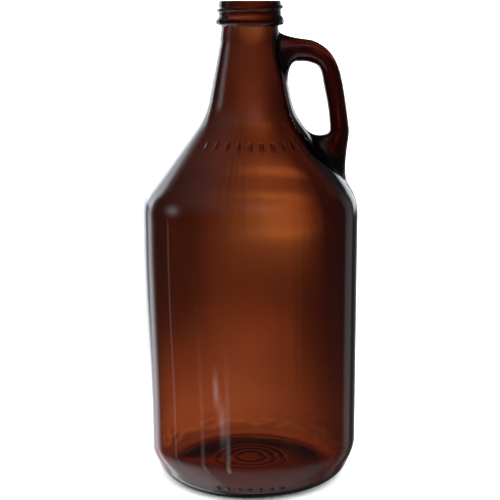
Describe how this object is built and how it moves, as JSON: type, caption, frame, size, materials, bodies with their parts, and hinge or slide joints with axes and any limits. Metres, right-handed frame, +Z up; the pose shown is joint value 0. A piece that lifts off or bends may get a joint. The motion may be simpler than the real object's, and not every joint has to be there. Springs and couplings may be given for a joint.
{
  "type": "growler",
  "caption": "Amber glass jug for beer or cider, with a screw-thread mouth, a conical shoulder and a finger handle on the neck.",
  "frame": {"origin": "centre of the base, on the surface that the jug stands on", "axes": "+Z up along the axis of the jug, towards the mouth; +X towards the handle; the marked front faces -Y"},
  "size_m": [0.124, 0.124, 0.275],
  "materials": {
    "amber_glass": "clear amber bottle glass, fire-polished and glossy"
  },
  "bodies": {
    "root": {"finish": "amber_glass", "screw_thread": "amber_glass", "neck": "amber_glass", "shoulder": "amber_glass", "side_wall": "amber_glass", "base": "amber_glass", "handle": "amber_glass", "shoulder_marks": "amber_glass", "heel_dots": "amber_glass"}
  },
  "joints": []
}
